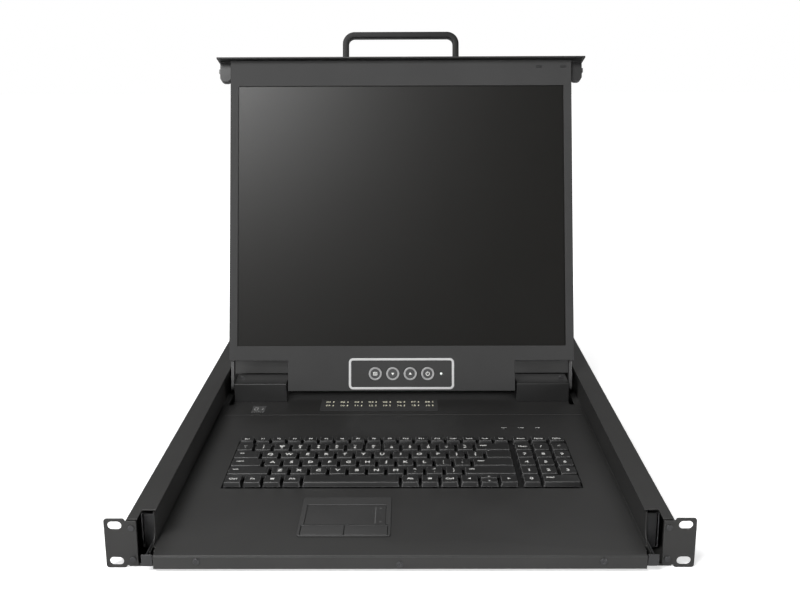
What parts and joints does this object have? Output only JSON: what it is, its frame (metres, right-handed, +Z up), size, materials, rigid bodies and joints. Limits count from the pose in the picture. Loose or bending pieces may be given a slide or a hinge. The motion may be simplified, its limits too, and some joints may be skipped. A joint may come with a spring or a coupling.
{
  "type": "rack console drawer with kvm switch",
  "caption": "One-unit rack drawer with a hinged flat screen, keyboard, touchpad and a built-in switch that lets one operator work several computers.",
  "frame": {"origin": "centre of the four rack slots, on the front face of the rack ears", "axes": "+X to the operator's right, +Y from the rack's front into the rack, +Z up"},
  "size_m": [0.4826, 0.6989, 0.4274],
  "materials": {
    "case_steel": "black powder coat, fine texture",
    "drawer_steel": "black powder coat, fine texture",
    "slide_steel": "zinc-plated pressed steel",
    "cage_steel": "bright steel",
    "screw_steel": "black zinc",
    "bezel_plastic": "fine-grained moulded plastic",
    "display_steel": "black powder coat, fine texture",
    "screen_glass": "anti-glare screen surface",
    "handle_metal": "black coated",
    "hinge_metal": "black cast metal",
    "key_plastic": "satin keycap plastic",
    "keyboard_plastic": "matt moulded plastic",
    "pad_plastic": "matt moulded plastic",
    "indicator_film": "printed overlay film",
    "trim_silver": "silver inlay",
    "button_plastic": "matt moulded plastic",
    "display_window": "tinted window",
    "board_green": "circuit board lacquer",
    "socket_metal": "nickel-plated shells",
    "inlet_plastic": "matt moulded plastic",
    "supply_metal": "folded sheet",
    "latch_plastic": "matt moulded plastic"
  },
  "bodies": {
    "case": {"case_floor": "case_steel", "case_side_left": "case_steel", "case_side_right": "case_steel", "rack_ear_left": "case_steel", "rack_ear_right": "case_steel", "slide_outer_left": "slide_steel", "slide_outer_right": "slide_steel", "case_screws": "screw_steel"},
    "rear_bracket_l": {"rear_bracket_left": "case_steel"},
    "rear_bracket_r": {"rear_bracket_right": "case_steel"},
    "middle_slide_l": {"slide_middle_left": "slide_steel"},
    "middle_slide_r": {"slide_middle_right": "slide_steel"},
    "outer_cage_l": {"outer_ball_cage_left": "cage_steel"},
    "outer_cage_r": {"outer_ball_cage_right": "cage_steel"},
    "inner_cage_l": {"inner_ball_cage_left": "cage_steel"},
    "inner_cage_r": {"inner_ball_cage_right": "cage_steel"},
    "drawer": {"slide_inner_left": "slide_steel", "slide_inner_right": "slide_steel", "drawer_tray": "drawer_steel", "keyboard_deck": "drawer_steel", "control_strip": "drawer_steel", "indicator_panel": "indicator_film", "station_display": "display_window", "hinge_block_left": "hinge_metal", "hinge_block_right": "hinge_metal", "rear_cover": "drawer_steel", "rear_panel": "drawer_steel", "port_sockets": "socket_metal", "power_inlet": "inlet_plastic", "kvm_board": "board_green", "power_supply": "supply_metal", "drawer_screws": "screw_steel", "keyboard_base": "keyboard_plastic", "touchpad_frame": "pad_plastic", "touchpad": "pad_plastic"},
    "display": {"display_bezel": "bezel_plastic", "display_cover": "display_steel", "lcd_panel": "screen_glass", "front_plate": "display_steel", "pull_handle": "handle_metal", "hinge_arm_left": "hinge_metal", "hinge_arm_right": "hinge_metal", "button_trim": "trim_silver", "button_board": "board_green"},
    "latch_l": {"latch_left": "latch_plastic"},
    "latch_r": {"latch_right": "latch_plastic"},
    "pad_button_l": {"touchpad_button_left": "pad_plastic"},
    "pad_button_r": {"touchpad_button_right": "pad_plastic"},
    "function_keys": {"function_keys": "key_plastic"},
    "number_keys": {"number_keys": "key_plastic"},
    "top_letter_keys": {"top_letter_keys": "key_plastic"},
    "home_letter_keys": {"home_letter_keys": "key_plastic"},
    "lower_letter_keys": {"lower_letter_keys": "key_plastic"},
    "bottom_keys": {"bottom_keys": "key_plastic"},
    "space_bar": {"space_bar": "key_plastic"},
    "keypad_keys": {"keypad_keys": "key_plastic"},
    "menu_button": {"menu_button": "button_plastic"},
    "down_button": {"down_button": "button_plastic"},
    "up_button": {"up_button": "button_plastic"},
    "power_button": {"power_button": "button_plastic"}
  },
  "joints": [
    {"name": "drawer_slide", "type": "slide", "parent": "case", "child": "drawer", "axis": [0, -1, 0], "range_m": [0, 0.4]},
    {"name": "middle_slide_l_run", "type": "slide", "parent": "case", "child": "middle_slide_l", "axis": [0, -1, 0], "range_m": [0, 0.2]},
    {"name": "outer_cage_l_run", "type": "slide", "parent": "case", "child": "outer_cage_l", "axis": [0, -1, 0], "range_m": [0, 0.1]},
    {"name": "inner_cage_l_run", "type": "slide", "parent": "case", "child": "inner_cage_l", "axis": [0, -1, 0], "range_m": [0, 0.3]},
    {"name": "rear_bracket_l_adjust", "type": "slide", "parent": "case", "child": "rear_bracket_l", "axis": [0, 1, 0], "range_m": [-0.035, 0.055]},
    {"name": "middle_slide_r_run", "type": "slide", "parent": "case", "child": "middle_slide_r", "axis": [0, -1, 0], "range_m": [0, 0.2]},
    {"name": "outer_cage_r_run", "type": "slide", "parent": "case", "child": "outer_cage_r", "axis": [0, -1, 0], "range_m": [0, 0.1]},
    {"name": "inner_cage_r_run", "type": "slide", "parent": "case", "child": "inner_cage_r", "axis": [0, -1, 0], "range_m": [0, 0.3]},
    {"name": "rear_bracket_r_adjust", "type": "slide", "parent": "case", "child": "rear_bracket_r", "axis": [0, 1, 0], "range_m": [-0.035, 0.055]},
    {"name": "display_hinge", "type": "hinge", "parent": "drawer", "child": "display", "pos_m": [0, 0.3625, 0.01117], "axis": [1, 0, 0], "range_deg": [-13, 106.86]},
    {"name": "latch_l_slide", "type": "slide", "parent": "display", "child": "latch_l", "axis": [1, 0, 0], "range_m": [0, 0.003], "stiffness_N_per_m": 600, "springref_m": -0.002},
    {"name": "pad_button_l_press", "type": "slide", "parent": "drawer", "child": "pad_button_l", "axis": [0, 0, -1], "range_m": [0, 0.0007], "stiffness_N_per_m": 1500, "springref_m": -0.0005},
    {"name": "latch_r_slide", "type": "slide", "parent": "display", "child": "latch_r", "axis": [-1, 0, 0], "range_m": [0, 0.003], "stiffness_N_per_m": 600, "springref_m": -0.002},
    {"name": "pad_button_r_press", "type": "slide", "parent": "drawer", "child": "pad_button_r", "axis": [0, 0, -1], "range_m": [0, 0.0007], "stiffness_N_per_m": 1500, "springref_m": -0.0005},
    {"name": "function_keys_press", "type": "slide", "parent": "drawer", "child": "function_keys", "axis": [0, 0, -1], "range_m": [0, 0.002], "stiffness_N_per_m": 500, "springref_m": -0.001},
    {"name": "number_keys_press", "type": "slide", "parent": "drawer", "child": "number_keys", "axis": [0, 0, -1], "range_m": [0, 0.002], "stiffness_N_per_m": 500, "springref_m": -0.001},
    {"name": "top_letter_keys_press", "type": "slide", "parent": "drawer", "child": "top_letter_keys", "axis": [0, 0, -1], "range_m": [0, 0.002], "stiffness_N_per_m": 500, "springref_m": -0.001},
    {"name": "home_letter_keys_press", "type": "slide", "parent": "drawer", "child": "home_letter_keys", "axis": [0, 0, -1], "range_m": [0, 0.002], "stiffness_N_per_m": 500, "springref_m": -0.001},
    {"name": "lower_letter_keys_press", "type": "slide", "parent": "drawer", "child": "lower_letter_keys", "axis": [0, 0, -1], "range_m": [0, 0.002], "stiffness_N_per_m": 500, "springref_m": -0.001},
    {"name": "bottom_keys_press", "type": "slide", "parent": "drawer", "child": "bottom_keys", "axis": [0, 0, -1], "range_m": [0, 0.002], "stiffness_N_per_m": 500, "springref_m": -0.001},
    {"name": "space_bar_press", "type": "slide", "parent": "drawer", "child": "space_bar", "axis": [0, 0, -1], "range_m": [0, 0.002], "stiffness_N_per_m": 500, "springref_m": -0.001},
    {"name": "keypad_keys_press", "type": "slide", "parent": "drawer", "child": "keypad_keys", "axis": [0, 0, -1], "range_m": [0, 0.002], "stiffness_N_per_m": 500, "springref_m": -0.001},
    {"name": "menu_button_press", "type": "slide", "parent": "display", "child": "menu_button", "axis": [0, 0.957, -0.29], "range_m": [0, 0.001], "stiffness_N_per_m": 800, "springref_m": -0.0006},
    {"name": "down_button_press", "type": "slide", "parent": "display", "child": "down_button", "axis": [0, 0.957, -0.29], "range_m": [0, 0.001], "stiffness_N_per_m": 800, "springref_m": -0.0006},
    {"name": "up_button_press", "type": "slide", "parent": "display", "child": "up_button", "axis": [0, 0.957, -0.29], "range_m": [0, 0.001], "stiffness_N_per_m": 800, "springref_m": -0.0006},
    {"name": "power_button_press", "type": "slide", "parent": "display", "child": "power_button", "axis": [0, 0.957, -0.29], "range_m": [0, 0.001], "stiffness_N_per_m": 800, "springref_m": -0.0006}
  ],
  "couplings": [
    {"joint": "middle_slide_l_run", "follows": "drawer_slide", "ratio": 0.5},
    {"joint": "outer_cage_l_run", "follows": "drawer_slide", "ratio": 0.25},
    {"joint": "inner_cage_l_run", "follows": "drawer_slide", "ratio": 0.75},
    {"joint": "middle_slide_r_run", "follows": "drawer_slide", "ratio": 0.5},
    {"joint": "outer_cage_r_run", "follows": "drawer_slide", "ratio": 0.25},
    {"joint": "inner_cage_r_run", "follows": "drawer_slide", "ratio": 0.75}
  ]
}
